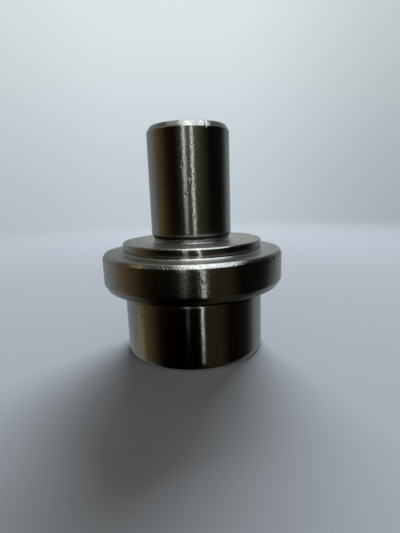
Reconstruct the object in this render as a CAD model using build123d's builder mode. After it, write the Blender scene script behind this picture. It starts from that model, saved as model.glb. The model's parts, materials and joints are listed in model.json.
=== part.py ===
from build123d import *
from math import radians, tan
import os

# Stepped shaft: journal, collar, locating shoulder and spigot, turned and ground in one piece.
# Millimetres. The shaft stands on its journal end: the origin is the centre of that end face,
# and +Z runs along the axis towards the spigot.

# Steps, from the journal end up
journal_diameter = 35.0
journal_length = 16.5
collar_diameter = 45.0
collar_thickness = 8.5
shoulder_diameter = 34.8
shoulder_height = 2.5
spigot_diameter = 20.0
spigot_length = 27.0

# Edge breaks, all turned at one angle to the axis and sized by what they take off the radius
chamfer_angle = 30.0
journal_end_chamfer = 0.5
collar_under_chamfer = 0.9
collar_top_chamfer = 0.5
shoulder_chamfer = 0.2
spigot_lead_in = 0.75

# Radius left by the tool where the shoulder rises from the collar
shoulder_foot_radius = 0.5

# Grinding relief at the root of each ground diameter, cut into the wall and a little into the face
relief_depth = 0.55
relief_width = 1.75
relief_runout_angle = 30.0
relief_root_radius = 0.4
relief_face_depth = 0.15
relief_face_angle = 8.0

# Centre hole in each end
centre_pilot_diameter = 2.5
centre_mouth_diameter = 5.3
centre_cone_angle = 60.0
centre_pilot_depth = 5.5
drill_point_angle = 118.0

# Heights of the faces between the steps
collar_base = journal_length
collar_top = collar_base + collar_thickness
shoulder_top = collar_top + shoulder_height
spigot_end = shoulder_top + spigot_length


def wall_of(part, step):
    """The cylindrical wall of a step, counted from the journal end."""
    return part.faces().filter_by(GeomType.CYLINDER).sort_by(Axis.Z)[step]


def rim_of(wall, end):
    """The circle at the lower (0) or upper (-1) end of a wall."""
    return wall.edges().filter_by(GeomType.CIRCLE).sort_by(Axis.Z)[end]


with BuildPart() as stepped_shaft:
    # Half section of the blank, turned about the axis
    with BuildSketch(Plane.XZ):
        with BuildLine():
            Polyline(
                (0, 0),
                (journal_diameter / 2, 0),
                (journal_diameter / 2, collar_base),
                (collar_diameter / 2, collar_base),
                (collar_diameter / 2, collar_top),
                (shoulder_diameter / 2, collar_top),
                (shoulder_diameter / 2, shoulder_top),
                (spigot_diameter / 2, shoulder_top),
                (spigot_diameter / 2, spigot_end),
                (0, spigot_end),
                close=True,
            )
        make_face()
    revolve(axis=Axis.Z)

    # Long shallow chamfers: each is (step, end of its wall, depth)
    edge_breaks = (
        (0, 0, journal_end_chamfer),
        (1, 0, collar_under_chamfer),
        (1, -1, collar_top_chamfer),
        (2, -1, shoulder_chamfer),
        (3, -1, spigot_lead_in),
    )
    for step, end, depth in edge_breaks:
        wall = wall_of(stepped_shaft.part, step)
        length_along_wall = depth / tan(radians(chamfer_angle))
        chamfer(rim_of(wall, end), length_along_wall, depth, reference=wall)

    # Small radius at the foot of the shoulder
    fillet(rim_of(wall_of(stepped_shaft.part, 2), 0), shoulder_foot_radius)

    # Reliefs: the wheel runs out over them, and a ring pushed home seats flat on the face.
    # Each is (height of the face it starts from, direction away from that face, radius ground)
    runout_length = relief_depth / tan(radians(relief_runout_angle))
    face_slope_length = relief_face_depth / tan(radians(relief_face_angle))
    reliefs = (
        (collar_base, -1, journal_diameter / 2),
        (shoulder_top, 1, spigot_diameter / 2),
    )
    for face_height, away, ground_radius in reliefs:
        floor_radius = ground_radius - relief_depth
        root = (floor_radius, face_height - away * relief_face_depth)
        with BuildSketch(Plane.XZ) as relief:
            with BuildLine():
                Polyline(
                    root,
                    (floor_radius, face_height + away * (relief_width - runout_length)),
                    (ground_radius, face_height + away * relief_width),
                    (ground_radius, face_height),
                    (floor_radius + face_slope_length, face_height),
                    close=True,
                )
            make_face()
            fillet(relief.vertices().sort_by_distance(root)[0], relief_root_radius)
        revolve(axis=Axis.Z, mode=Mode.SUBTRACT)

    # Centre holes: countersunk pilot with the drill's point at its bottom
    pilot_radius = centre_pilot_diameter / 2
    drill_point_length = pilot_radius / tan(radians(drill_point_angle / 2))
    with Locations(Plane.XY.offset(spigot_end), Plane.XY.rotated((180, 0, 0))):
        CounterSinkHole(
            pilot_radius, centre_mouth_diameter / 2, centre_pilot_depth, centre_cone_angle
        )
        with Locations((0, 0, -centre_pilot_depth - drill_point_length / 2)):
            Cone(0, pilot_radius, drill_point_length, mode=Mode.SUBTRACT)

stepped_shaft.part.label = "stepped_shaft"

os.makedirs("parts", exist_ok=True)
export_step(stepped_shaft.part, "parts/stepped_shaft.step")
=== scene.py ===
"""Stepped shaft: a short steel shaft, turned and ground in one piece, standing on its journal end.

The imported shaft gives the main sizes. One finer turned piece stands in for it, with softened
edges, rooted reliefs, centre holes and the small dents and pits of a part that has been used.
Bearings are degrees round the axis from the front, and run to the right.
"""

import json
from math import cos, pi, radians, sin, tan

import bmesh
import bpy
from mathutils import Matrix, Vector


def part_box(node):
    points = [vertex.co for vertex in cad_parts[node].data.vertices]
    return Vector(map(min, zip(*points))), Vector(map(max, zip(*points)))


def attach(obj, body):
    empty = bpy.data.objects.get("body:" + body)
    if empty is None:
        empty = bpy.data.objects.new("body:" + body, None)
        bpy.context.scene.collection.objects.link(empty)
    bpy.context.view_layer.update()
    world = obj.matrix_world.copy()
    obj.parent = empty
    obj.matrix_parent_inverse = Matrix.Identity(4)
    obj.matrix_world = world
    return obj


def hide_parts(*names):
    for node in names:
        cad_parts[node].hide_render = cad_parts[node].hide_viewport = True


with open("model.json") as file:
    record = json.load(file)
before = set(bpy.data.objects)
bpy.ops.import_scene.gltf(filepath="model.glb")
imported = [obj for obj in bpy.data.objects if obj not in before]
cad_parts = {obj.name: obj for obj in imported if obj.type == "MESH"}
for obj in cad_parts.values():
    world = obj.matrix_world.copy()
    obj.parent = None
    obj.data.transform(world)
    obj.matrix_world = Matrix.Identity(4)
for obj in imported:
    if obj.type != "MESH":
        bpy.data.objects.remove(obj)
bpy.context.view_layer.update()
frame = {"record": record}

MM = 0.001
NODE = "stepped_shaft"

# ---------------------------------------------------------------- sizes, in metres
mounts = {mount["name"]: mount for mount in frame["record"]["mounts"]}
box_low, box_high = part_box(NODE)

journal_radius = mounts["journal"]["dims"]["r_mm"] * MM
spigot_radius = mounts["spigot"]["dims"]["r_mm"] * MM
collar_radius = box_high.x
shoulder_radius = 17.4 * MM

collar_base = mounts["collar_under_face"]["pos_m"][2]
collar_top = mounts["collar_top_face"]["pos_m"][2]
shoulder_top = mounts["shoulder_face"]["pos_m"][2]
spigot_end = box_high.z

# Depths that the long shallow chamfers take off the radius
chamfer_angle = radians(30)
journal_end_chamfer = 0.5 * MM
collar_under_chamfer = 0.9 * MM
collar_top_chamfer = 0.5 * MM
shoulder_chamfer = 0.2 * MM
spigot_lead_in = 0.75 * MM

shoulder_foot_radius = 0.5 * MM

# Grinding relief at the root of the journal and of the spigot
relief_depth = 0.55 * MM
relief_width = 1.75 * MM
relief_runout_angle = radians(30)
relief_root_radius = 0.4 * MM
relief_face_depth = 0.15 * MM
relief_face_angle = radians(8)

# Centre hole in each end
centre_pilot_radius = 1.25 * MM
centre_mouth_radius = 2.65 * MM
centre_cone_angle = radians(60)
centre_pilot_depth = 5.5 * MM
drill_point_angle = radians(118)

AROUND = 512  # sides of the turned mesh
WALL_STEP = 0.8 * MM  # height of one band of faces on a wall
EDGE_SOFTNESS = 0.06 * MM  # what a file and handling leave on a turned edge
DENT_CUTS = 4  # how finely the faces round a dent are divided
SMOOTH_UP_TO = radians(40)  # edges sharper than this stay sharp


# Dents and pits from handling: bearing, then radius, height, size and depth in mm
MARKS = (
    (25, 10, 53.1, 0.35, 0.12),
    (-34, 10, 51.1, 0.3, 0.05),
    (-18, 10, 46, 0.35, 0.05),
    (-8, 10, 44.9, 0.3, 0.06),
    (2, 10, 42.2, 0.35, 0.07),
    (-5, 10, 38.6, 0.3, 0.05),
    (51, 10, 36, 0.35, 0.06),
    (160, 10, 44.5, 0.4, 0.06),
    (73, 17.4, 26.3, 0.5, 0.1),
    (-20, 22.5, 23.9, 0.4, 0.07),
    (-31, 22.5, 23.8, 0.35, 0.06),
    (54, 22.5, 24.1, 0.6, 0.14),
    (35, 22.5, 19.2, 0.4, 0.06),
    (-128, 22.5, 24.1, 0.6, 0.12),
    (148, 22.5, 20.5, 0.45, 0.07),
    (-42, 17.5, 12.5, 0.4, 0.1),
    (-54, 17.5, 8.2, 0.35, 0.07),
    (-62, 17.5, 9.6, 0.35, 0.07),
    (-36, 17.5, 7.9, 0.3, 0.06),
    (125, 17.5, 6, 0.4, 0.07),
)


# ---------------------------------------------------------------- small tools
def linear(hex_colour):
    """Turns an sRGB hex colour into the linear RGBA that shaders use."""
    channels = [int(hex_colour[i : i + 2], 16) / 255 for i in (1, 3, 5)]
    return [c / 12.92 if c <= 0.04045 else ((c + 0.055) / 1.055) ** 2.4 for c in channels] + [1.0]


def add_node(tree, kind, inputs=None, **settings):
    """Adds a node with its settings; an input is a value or another node's output socket."""
    node = tree.nodes.new(kind)
    for name, value in settings.items():
        setattr(node, name, value)
    for socket, value in (inputs or {}).items():
        if isinstance(value, bpy.types.NodeSocket):
            tree.links.new(value, node.inputs[socket])
        else:
            node.inputs[socket].default_value = value
    return node


# ---------------------------------------------------------------- the turned mesh
def outline():
    """The corners of the shaft's half section as (radius, height), from one centre hole to the other."""
    cone_length = (centre_mouth_radius - centre_pilot_radius) / tan(centre_cone_angle / 2)
    runout_length = relief_depth / tan(relief_runout_angle)
    face_slope_length = relief_face_depth / tan(relief_face_angle)

    def chamfer_length(depth):
        return depth / tan(chamfer_angle)

    def relief(radius, face, away):
        """From the wall, over the run-out and the root, to the face; away points from face to wall."""
        floor = radius - relief_depth
        return [
            (radius, face + away * relief_width),
            (floor, face + away * (relief_width - runout_length)),
            (floor, face - away * relief_face_depth),
            (floor + face_slope_length, face),
        ]

    return [
        (centre_pilot_radius, centre_pilot_depth),
        (centre_pilot_radius, cone_length),
        (centre_mouth_radius, 0),
        (journal_radius - journal_end_chamfer, 0),
        (journal_radius, chamfer_length(journal_end_chamfer)),
        *relief(journal_radius, collar_base, -1),
        (collar_radius - collar_under_chamfer, collar_base),
        (collar_radius, collar_base + chamfer_length(collar_under_chamfer)),
        (collar_radius, collar_top - chamfer_length(collar_top_chamfer)),
        (collar_radius - collar_top_chamfer, collar_top),
        (shoulder_radius, collar_top),
        (shoulder_radius, shoulder_top - chamfer_length(shoulder_chamfer)),
        (shoulder_radius - shoulder_chamfer, shoulder_top),
        *reversed(relief(spigot_radius, shoulder_top, 1)),
        (spigot_radius, spigot_end - chamfer_length(spigot_lead_in)),
        (spigot_radius - spigot_lead_in, spigot_end),
        (centre_mouth_radius, spigot_end),
        (centre_pilot_radius, spigot_end - cone_length),
        (centre_pilot_radius, spigot_end - centre_pilot_depth),
    ]


def extrude_ring(start, end):
    """Extrudes the selected ring from one (radius, height) to the next."""
    bpy.ops.mesh.extrude_region_move(TRANSFORM_OT_translate={"value": (0, 0, end[1] - start[1])})
    growth = end[0] / start[0]
    bpy.ops.transform.resize(value=(growth, growth, 1))


def close_centre_hole(radius, into_shaft):
    """Closes the selected ring with the cone that a drill's point leaves."""
    depth = radius / tan(drill_point_angle / 2)
    bpy.ops.mesh.extrude_region_move(TRANSFORM_OT_translate={"value": (0, 0, into_shaft * depth)})
    bpy.ops.mesh.merge(type="CENTER")


def select_ring(shaft, radius, height):
    """Selects the loop of edges at one radius and height."""
    mesh = bmesh.from_edit_mesh(shaft.data)
    near = 1e-6
    for vert in mesh.verts:
        off_radius = abs(vert.co.xy.length - radius)
        vert.select = off_radius < near and abs(vert.co.z - height) < near
    mesh.select_flush(True)
    bmesh.update_edit_mesh(shaft.data)


def round_ring(shaft, corner, offset, segments):
    """Rounds the edge at a corner of the outline."""
    bpy.ops.mesh.select_all(action="DESELECT")
    select_ring(shaft, *corner)
    bpy.ops.mesh.bevel(offset=offset, segments=segments, profile=0.5, affect="EDGES")


def turn_shaft():
    """Extrudes one ring along the outline and closes the centre hole at each end."""
    corners = outline()
    bpy.ops.object.select_all(action="DESELECT")
    bpy.ops.mesh.primitive_circle_add(
        vertices=AROUND, radius=corners[0][0], location=(0, 0, corners[0][1])
    )
    shaft = bpy.context.object
    shaft.name = "turned_shaft"
    shaft.data.name = "turned_shaft"
    bpy.ops.object.transform_apply(location=True)
    bpy.ops.object.mode_set(mode="EDIT")
    bpy.ops.mesh.select_mode(type="VERT")
    bpy.ops.mesh.select_all(action="SELECT")
    close_centre_hole(corners[0][0], 1)

    bpy.ops.mesh.select_all(action="DESELECT")
    select_ring(shaft, *corners[0])
    for start, end in zip(corners, corners[1:]):
        is_wall = start[0] == end[0]
        bands = max(1, round(abs(end[1] - start[1]) / WALL_STEP)) if is_wall else 1
        rings = [
            tuple(a + (b - a) * band / bands for a, b in zip(start, end)) for band in range(bands + 1)
        ]
        for here, there in zip(rings, rings[1:]):
            extrude_ring(here, there)
    close_centre_hole(corners[-1][0], -1)
    return shaft, corners


def soften_corners(shaft, corners):
    """Gives every turned corner its radius: a tool radius in the three roots, a worn edge elsewhere."""
    shoulder_foot = (shoulder_radius, collar_top)
    relief_roots = {
        (journal_radius - relief_depth, collar_base + relief_face_depth),
        (spigot_radius - relief_depth, shoulder_top - relief_face_depth),
    }
    for corner in corners[1:-1]:
        if corner == shoulder_foot:
            round_ring(shaft, corner, shoulder_foot_radius, 8)
        elif corner in relief_roots:
            round_ring(shaft, corner, relief_root_radius, 6)
        else:
            round_ring(shaft, corner, EDGE_SOFTNESS, 2)


def dent(shaft, bearing, radius, height, size, depth):
    """Divides the faces round a place on a wall and knocks a small round dent there."""
    outwards = Vector((sin(radians(bearing)), -cos(radians(bearing)), 0))
    place = (outwards * radius + Vector((0, 0, height))) * MM
    reach = max(1.4 * size * MM, 0.6 * WALL_STEP)
    bpy.ops.mesh.select_all(action="DESELECT")
    mesh = bmesh.from_edit_mesh(shaft.data)
    for face in mesh.faces:
        face.select = (face.calc_center_median() - place).length < reach
    bmesh.update_edit_mesh(shaft.data)
    bpy.ops.mesh.subdivide(number_cuts=DENT_CUTS)
    bpy.ops.mesh.select_all(action="DESELECT")
    mesh = bmesh.from_edit_mesh(shaft.data)
    min(mesh.verts, key=lambda vert: (vert.co - place).length).select = True
    mesh.select_flush(True)
    bmesh.update_edit_mesh(shaft.data)
    bpy.ops.transform.translate(
        value=-outwards * depth * MM,
        use_proportional_edit=True,
        proportional_edit_falloff="SMOOTH",
        proportional_size=size * MM,
    )


def finish_mesh(shaft):
    """Turns the normals outwards and smooths all but the sharpest edges, with the flat faces left flat."""
    bpy.ops.mesh.select_all(action="SELECT")
    bpy.ops.mesh.normals_make_consistent(inside=False)
    bpy.ops.object.mode_set(mode="OBJECT")
    bpy.ops.object.shade_smooth_by_angle(angle=SMOOTH_UP_TO)
    modifier = shaft.modifiers.new("flat_faces", "WEIGHTED_NORMAL")
    modifier.keep_sharp = True
    bpy.ops.object.modifier_apply(modifier=modifier.name)


# ---------------------------------------------------------------- finishes
def millimetres(tree):
    """Object coordinates in millimetres."""
    return scaled(tree, add_node(tree, "ShaderNodeTexCoord").outputs["Object"], 1 / MM)


def math(tree, operation, *values):
    """One sum on numbers or sockets."""
    inputs = dict(enumerate(values))
    return add_node(tree, "ShaderNodeMath", inputs, operation=operation).outputs["Value"]


def product(tree, first, *others):
    """Multiplies amounts together."""
    for other in others:
        first = math(tree, "MULTIPLY", first, other)
    return first


def scaled(tree, vector, amount):
    """A place or a colour times an amount."""
    inputs = {0: vector, "Scale": amount}
    return add_node(tree, "ShaderNodeVectorMath", inputs, operation="SCALE").outputs["Vector"]


def remap(tree, value, low, high, to_low=0.0, to_high=1.0, kind="SMOOTHSTEP"):
    """Maps one range onto another, clamped, with soft ends unless told otherwise."""
    inputs = {"Value": value, "From Min": low, "From Max": high, "To Min": to_low, "To Max": to_high}
    return add_node(tree, "ShaderNodeMapRange", inputs, interpolation_type=kind).outputs["Result"]


def noise(tree, vector, scale, detail=2.0, roughness=0.5):
    """Plain noise from 0 to 1."""
    inputs = {"Vector": vector, "Scale": scale, "Detail": detail, "Roughness": roughness}
    return add_node(tree, "ShaderNodeTexNoise", inputs).outputs["Fac"]


def mix_colours(tree, amount, first, second):
    """Goes from the first colour to the second as the amount goes from 0 to 1."""
    inputs = {0: amount, 6: first, 7: second}
    return add_node(tree, "ShaderNodeMix", inputs, data_type="RGBA").outputs[2]


def ring_space(tree, place, pitch, around):
    """A space in which noise draws rings round the axis, on walls and faces alike, pitch mm apart.

    The higher the number around, the shorter the marks along each ring.
    """
    x, y, z = add_node(tree, "ShaderNodeSeparateXYZ", {"Vector": place}).outputs
    flat = add_node(tree, "ShaderNodeCombineXYZ", {"X": x, "Y": y}).outputs["Vector"]
    radius = add_node(tree, "ShaderNodeVectorMath", {0: flat}, operation="LENGTH").outputs["Value"]
    turn = add_node(tree, "ShaderNodeVectorMath", {0: flat}, operation="NORMALIZE").outputs["Vector"]
    turn = scaled(tree, turn, around)
    turn_x, turn_y, _ = add_node(tree, "ShaderNodeSeparateXYZ", {"Vector": turn}).outputs
    along = math(tree, "DIVIDE", math(tree, "ADD", radius, z), pitch)
    space = {"X": turn_x, "Y": turn_y, "Z": along}
    return add_node(tree, "ShaderNodeCombineXYZ", space).outputs["Vector"]


def steel(name, colour, roughness, anisotropy):
    """A bare steel with its grain running round the axis, as its material, node tree and shader."""
    material = bpy.data.materials.new(name)
    material.use_nodes = True
    tree = material.node_tree
    shader = tree.nodes["Principled BSDF"]
    shader.inputs["Base Color"].default_value = linear(colour)
    shader.inputs["Metallic"].default_value = 1.0
    shader.inputs["Roughness"].default_value = roughness
    shader.inputs["Anisotropic"].default_value = anisotropy
    shader.inputs["Anisotropic Rotation"].default_value = 0.25
    around = add_node(tree, "ShaderNodeTangent", direction_type="RADIAL", axis="Z")
    tree.links.new(around.outputs["Tangent"], shader.inputs["Tangent"])
    return material, tree, shader


def raise_surface(tree, shader, layers):
    """Chains bumps onto the shader; each layer is a height from 0 to 1 and its size in mm."""
    normal = None
    for height, size in layers:
        inputs = {"Height": height, "Strength": 1.0, "Distance": size * MM}
        if normal:
            inputs["Normal"] = normal
        normal = add_node(tree, "ShaderNodeBump", inputs).outputs["Normal"]
    tree.links.new(normal, shader.inputs["Normal"])


def mottle(tree, shader, amount, darkest, palest):
    """Lets the steel's colour wander between two greys."""
    tree.links.new(mix_colours(tree, amount, linear(darkest), linear(palest)), shader.inputs["Base Color"])


def ground_steel(name, roughness, anisotropy, grain_height, darkest, palest):
    """Carbon steel, ground between centres: fine rings round the part smear lamps into upright streaks."""
    material, tree, shader = steel(name, "#B4B4B0", roughness, anisotropy)
    place = millimetres(tree)
    # The marks of the wheel are far finer than this, which is as fine as can be seen
    marks = noise(tree, ring_space(tree, place, 0.36, 30), 1.0, 0.0)
    grain = noise(tree, place, 3.0, 0.0)
    raise_surface(tree, shader, [(marks, grain_height), (grain, grain_height)])
    cloud = remap(tree, noise(tree, place, 3.4, 1.0, 0.6), 0.32, 0.68, kind="LINEAR")
    mottle(tree, shader, cloud, darkest, palest)
    return material


def ground_wall():
    """The walls of the collar and the spigot: a satin grind, in which the windows show as speckled bands."""
    return ground_steel("ground_carbon_steel", 0.16, 0.75, 0.01, "#9B9B96", "#CCCCC9")


def ground_journal():
    """The journal and the shoulder's wall, ground finer, so the room stands in them more sharply."""
    return ground_steel("finely_ground_carbon_steel", 0.11, 0.5, 0.005, "#A8A8A4", "#BFBFBC")


def turned_steel(name, roughness, anisotropy, tearing):
    """The same steel as the lathe leaves it: coarser rings, a duller shine and the odd torn speck."""
    material, tree, shader = steel(name, "#B1B0AA", roughness, anisotropy)
    place = millimetres(tree)
    rings = noise(tree, ring_space(tree, place, 0.5, 5), 1.0, 1.0)
    grain = noise(tree, place, 2.8, 1.0)
    torn = remap(tree, noise(tree, place, 1.6, 2.0, 0.7), 0.55, 0.75)
    raise_surface(tree, shader, [(rings, 0.03), (grain, 0.03), (torn, tearing)])
    cloud = noise(tree, place, 2.6, 2.0, 0.7)
    broad_rings = noise(tree, ring_space(tree, place, 0.7, 3), 1.0, 1.0)
    cloud = remap(tree, math(tree, "ADD", cloud, broad_rings), 0.7, 1.3, kind="LINEAR")
    mottle(tree, shader, cloud, "#898985", "#CDCDC9")
    return material


def turned_face():
    """Faced ends and shoulders."""
    return turned_steel("turned_carbon_steel_face", 0.38, 0.4, 0.02)


def turned_edge():
    """Chamfers and tool radii."""
    return turned_steel("turned_carbon_steel_edge", 0.17, 0.5, 0.025)


def painted_shade_relief():
    """The run-outs of the two grinding reliefs, painted dark: painted shade in these recesses."""
    # The dark base colour is painted shade, not a colour the steel has.
    material, tree, shader = steel("oiled_grinding_relief", "#2E2B26", 0.3, 0.4)
    grain = noise(tree, millimetres(tree), 1.7, 1.0)
    raise_surface(tree, shader, [(grain, 0.03)])
    return material


def finish_surfaces(shaft):
    """Ground walls, faced ends and shoulders, painted shade on the run-outs, and a turned finish on all the
    edges.
    """
    fine, ground, faced, shaded_runout, turned = range(5)
    for finish in (ground_journal, ground_wall, turned_face, painted_shade_relief, turned_edge):
        shaft.data.materials.append(finish())
    # Each wall as its radius, the heights it lies between, and its finish
    walls = (
        (journal_radius, 0, collar_base, fine),
        (shoulder_radius, collar_top, shoulder_top, fine),
        (collar_radius, collar_base, collar_top, ground),
        (spigot_radius, shoulder_top, spigot_end, ground),
    )
    runout_length = relief_depth / tan(relief_runout_angle)
    journal_runout = collar_base - relief_width
    spigot_runout = shoulder_top + relief_width
    runouts = (
        (journal_radius, journal_runout, journal_runout + runout_length),
        (spigot_radius, spigot_runout - runout_length, spigot_runout),
    )
    near = 0.02 * MM
    for face in shaft.data.polygons:
        radius, height = face.center.xy.length, face.center.z
        finishes = [
            finish for wall, low, high, finish in walls if abs(radius - wall) < near and low < height < high
        ]
        in_runout = any(radius < wall and low < height < high for wall, low, high in runouts)
        if finishes:
            face.material_index = finishes[0]
        # The run-outs take the dark steel, which is painted shade.
        elif in_runout and radius > centre_mouth_radius:
            face.material_index = shaded_runout
        elif abs(face.normal.z) > 0.95:
            face.material_index = faced
        else:
            face.material_index = turned


# ---------------------------------------------------------------- the camera, lamps and floor
def place_camera():
    """A close, wide view from a little above the collar, rolled a touch."""
    data = bpy.data.cameras.new("close_view")
    data.sensor_width = 36
    data.lens = 23.94
    data.clip_start = 0.005
    data.clip_end = 20
    camera = bpy.data.objects.new("close_view", data)
    bpy.context.scene.collection.objects.link(camera)
    camera.location = Vector((1.877, -90.551, 38.366)) * MM
    camera.rotation_euler = (radians(78.65), radians(1.92), radians(-0.38))
    bpy.context.scene.camera = camera


# What stands round the bench at eye level, by its bearing
AROUND_THE_BENCH = (
    (-180, "#A4A7A2"),
    (-166, "#63686B"),
    (-130, "#5D6062"),
    (-114, "#585857"),
    (-106, "#4E4A42"),
    (-96, "#453C2D"),
    (-86, "#3E3320"),
    (-76, "#2F271A"),
    (-66, "#21190F"),
    (-56, "#140C06"),
    (-42, "#0C0602"),
    (-28, "#050402"),
    (8, "#050402"),
    (18, "#1C1A12"),
    (44, "#1D1A11"),
    (52, "#16120B"),
    (59, "#080503"),
    (74, "#070604"),
    (92, "#0F0F0F"),
    (101, "#1E1F1F"),
    (110, "#383A3A"),
    (117, "#525555"),
    (130, "#5D6162"),
    (150, "#5F6468"),
    (168, "#7F8386"),
    (180, "#A4A7A2"),
)


def strip(tree, bearing, middle, half_width, blur):
    """One upright strip of the surroundings, 1 inside and 0 outside."""
    off = math(tree, "ABSOLUTE", math(tree, "SUBTRACT", bearing, middle))
    return remap(tree, math(tree, "SUBTRACT", off, half_width), blur, -blur)


def bench_side(tree, bearing):
    """The colours all round at eye level."""
    ramp = add_node(tree, "ShaderNodeValToRGB", {"Fac": remap(tree, bearing, -180, 180, kind="LINEAR")})
    stops = ramp.color_ramp.elements
    for index, (angle, colour) in enumerate(AROUND_THE_BENCH):
        position = (angle + 180) / 360
        stop = stops[index] if index < 2 else stops.new(position)
        stop.position = position
        stop.color = linear(colour)
    return ramp.outputs["Color"]


def windows(tree, bearing, z):
    """Two tall windows that spread a little towards the sill, with the glow of the wall between them."""
    lean = remap(tree, z, 0.02, -0.25)
    rising = remap(tree, z, -0.3, 0.16, kind="LINEAR")
    left_middle = math(tree, "MULTIPLY_ADD", lean, 2.6, -10.6)
    left_half = math(tree, "MULTIPLY_ADD", lean, -1.0, 4.3)
    left = strip(tree, bearing, left_middle, left_half, 1.0)
    right_middle = math(tree, "MULTIPLY_ADD", lean, 3.2, 10.7)
    right_half = math(tree, "MULTIPLY_ADD", lean, -1.7, 3.3)
    right = strip(tree, bearing, right_middle, right_half, 1.0)
    right_height = product(tree, remap(tree, z, -0.5, -0.3), remap(tree, z, -0.27, -0.32, 1.0, 1.3))
    glow = strip(tree, bearing, 4, 22, 20)
    return (
        (product(tree, glow, math(tree, "POWER", rising, 1.5)), "#464742"),
        (product(tree, left, math(tree, "POWER", rising, 1.4)), "#ACADA8"),
        (product(tree, right, right_height), "#B4B6AE"),
    )


def overhead(tree, direction, bearing, z):
    """A round lamp above the bench, a small warm one beside it, and the pale ceiling."""
    lamp_bearing, lamp_height = radians(35), radians(62)
    lamp_edge = (cos(radians(35)), cos(radians(25)))
    level = cos(lamp_height)
    to_lamp = (level * sin(lamp_bearing), -level * cos(lamp_bearing), sin(lamp_height))
    facing = {0: direction, 1: to_lamp}
    facing = add_node(tree, "ShaderNodeVectorMath", facing, operation="DOT_PRODUCT").outputs["Value"]
    warm_lamp = product(tree, strip(tree, bearing, -80, 9, 6), strip(tree, z, 0.57, 0.07, 0.05))
    return (
        (remap(tree, facing, *lamp_edge, 0.0, 0.75), "#F0F8FF"),
        (warm_lamp, "#77714F"),
        (remap(tree, z, 0.78, 0.93), "#747571"),
    )


def below_the_sill(tree, bearing, z):
    """A little of the lit paper beside the foot, and the left window's lower pane."""
    beside = product(tree, strip(tree, bearing, 78, 32, 26), remap(tree, z, -0.7, -0.85))
    pane_height = product(tree, remap(tree, z, -0.39, -0.33), remap(tree, z, -0.305, -0.32))
    pane = product(tree, strip(tree, bearing, -9.8, 2.0, 0.8), pane_height)
    return (beside, "#26221A"), (pane, "#393733")


def lit(tree, room, lights):
    """The room with lights added to it, each as (amount, colour)."""
    for amount, colour in lights:
        light = scaled(tree, linear(colour)[:3], amount)
        room = add_node(tree, "ShaderNodeVectorMath", {0: room, 1: light}, operation="ADD").outputs["Vector"]
    return room


def room_in_the_steel(tree, direction, z, bearing):
    """The dim room that stands in the steel; z is the sine of the height above eye level."""
    room = mix_colours(tree, remap(tree, z, 0.45, 0.8), bench_side(tree, bearing), linear("#464845"))
    door_height = product(tree, remap(tree, z, -0.3, -0.2, 0.0, 0.6), remap(tree, z, 0.6, 0.42))
    dark_door = product(tree, strip(tree, bearing, 104, 22, 16), door_height)
    room = scaled(tree, room, math(tree, "SUBTRACT", 1.0, dark_door))
    left_wall = product(tree, strip(tree, bearing, -101, 8, 6), remap(tree, z, -0.27, -0.32))
    room = lit(tree, room, windows(tree, bearing, z))
    room = lit(tree, room, overhead(tree, direction, bearing, z))
    room = lit(tree, room, [(left_wall, "#3E3A32")])

    # It darkens downwards, most of all in the shaft's own shadow in front
    own_shadow = product(tree, strip(tree, bearing, -27, 30, 14), remap(tree, z, -0.2, -0.38, 0.0, 0.8))
    below = remap(tree, z, -0.88, -0.5, kind="LINEAR")
    room = scaled(tree, room, product(tree, below, math(tree, "SUBTRACT", 1.0, own_shadow)))
    return lit(tree, room, below_the_sill(tree, bearing, z))


def pale_backdrop(tree, x, z):
    """What the camera sees behind the floor: pale paper, brighter higher up and darker at the sides."""
    seen = mix_colours(tree, remap(tree, z, -0.12, 0.55), linear("#BDC7CF"), linear("#DFE7E9"))
    right_side = remap(tree, x, 0.05, 0.6, 1.0, 0.72)
    left_side = remap(tree, x, -0.15, -0.55, 1.0, 0.88)
    return scaled(tree, seen, product(tree, right_side, left_side))


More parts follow.
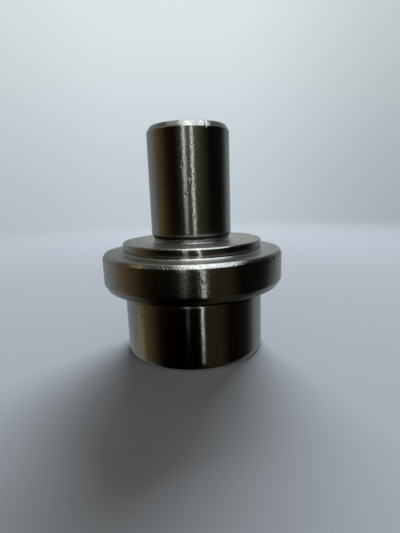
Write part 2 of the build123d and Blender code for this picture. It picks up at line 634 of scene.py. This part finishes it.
def light_world():
    """A dim bench side with two tall windows for the steel, and plain pale paper for the camera.

    The floor gets only a little even light.
    """
    world = bpy.data.worlds.new("bench_by_windows")
    bpy.context.scene.world = world
    world.use_nodes = True
    tree = world.node_tree
    tree.nodes.clear()
    direction = add_node(tree, "ShaderNodeTexCoord").outputs["Generated"]
    x, y, z = add_node(tree, "ShaderNodeSeparateXYZ", {"Vector": direction}).outputs
    front = math(tree, "MULTIPLY", y, -1.0)
    bearing = math(tree, "MULTIPLY", math(tree, "ARCTAN2", x, front), 180 / pi)

    # The room's colours are written as they show in the steel, so they are lifted by what it swallows
    lift = 2.1
    room = {"Color": room_in_the_steel(tree, direction, z, bearing), "Strength": lift}
    floor_light = {"Color": linear("#DAD4CB"), "Strength": 0.2}
    path = add_node(tree, "ShaderNodeLightPath").outputs
    mirrored = math(tree, "MAXIMUM", path["Is Glossy Ray"], path["Is Transmission Ray"])
    for_floor = add_node(tree, "ShaderNodeBackground", floor_light).outputs[0]
    for_camera = add_node(tree, "ShaderNodeBackground", {"Color": pale_backdrop(tree, x, z)}).outputs[0]
    for_steel = add_node(tree, "ShaderNodeBackground", room).outputs[0]
    light = {0: path["Is Camera Ray"], 1: for_floor, 2: for_camera}
    light = {0: mirrored, 1: add_node(tree, "ShaderNodeMixShader", light).outputs[0], 2: for_steel}
    light = add_node(tree, "ShaderNodeMixShader", light).outputs[0]
    add_node(tree, "ShaderNodeOutputWorld", {"Surface": light})


def light_from_behind():
    """A wide soft lamp low behind the part, a little to the right, that throws its shadow forwards."""
    from_behind, elevation, distance = radians(11), radians(23), 1.3
    data = bpy.data.lights.new("wide_window", "AREA")
    data.shape = "DISK"
    data.size = 1.1
    data.energy = 32
    data.color = linear("#F4F8FF")[:3]
    lamp = bpy.data.objects.new("wide_window", data)
    bpy.context.scene.collection.objects.link(lamp)
    level = distance * cos(elevation)
    lamp.location = (level * sin(from_behind), level * cos(from_behind), distance * sin(elevation))
    lamp.rotation_euler = (-(pi / 2 - elevation), 0, -from_behind)
    lamp.visible_glossy = False


def lay_paper():
    """A sheet of cool white paper under the shaft, fading into the backdrop."""
    bpy.ops.object.select_all(action="DESELECT")
    bpy.ops.mesh.primitive_circle_add(vertices=128, radius=0.5, fill_type="NGON")
    paper = bpy.context.object
    paper.name = "paper_sheet"
    paper.visible_glossy = False
    material = bpy.data.materials.new("cool_white_paper")
    material.use_nodes = True
    tree = material.node_tree
    shader = tree.nodes["Principled BSDF"]
    shader.inputs["Base Color"].default_value = linear("#C6CDD4")
    shader.inputs["Roughness"].default_value = 0.9
    shader.inputs["Specular IOR Level"].default_value = 0.1
    place = add_node(tree, "ShaderNodeTexCoord").outputs["Object"]
    radius = add_node(tree, "ShaderNodeVectorMath", {0: place}, operation="LENGTH").outputs["Value"]
    fade = remap(tree, radius, 0.12, 0.45)
    clear = add_node(tree, "ShaderNodeBsdfTransparent").outputs[0]
    sheet = add_node(tree, "ShaderNodeMixShader", {0: fade, 1: shader.outputs[0], 2: clear}).outputs[0]
    tree.links.new(sheet, tree.nodes["Material Output"].inputs["Surface"])
    paper.data.materials.append(material)


bpy.context.scene.view_settings.view_transform = "Standard"
place_camera()
light_world()
light_from_behind()
lay_paper()
shaft, corners = turn_shaft()
soften_corners(shaft, corners)
for mark in MARKS:
    dent(shaft, *mark)
finish_mesh(shaft)
finish_surfaces(shaft)
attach(shaft, "root")
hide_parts(NODE)
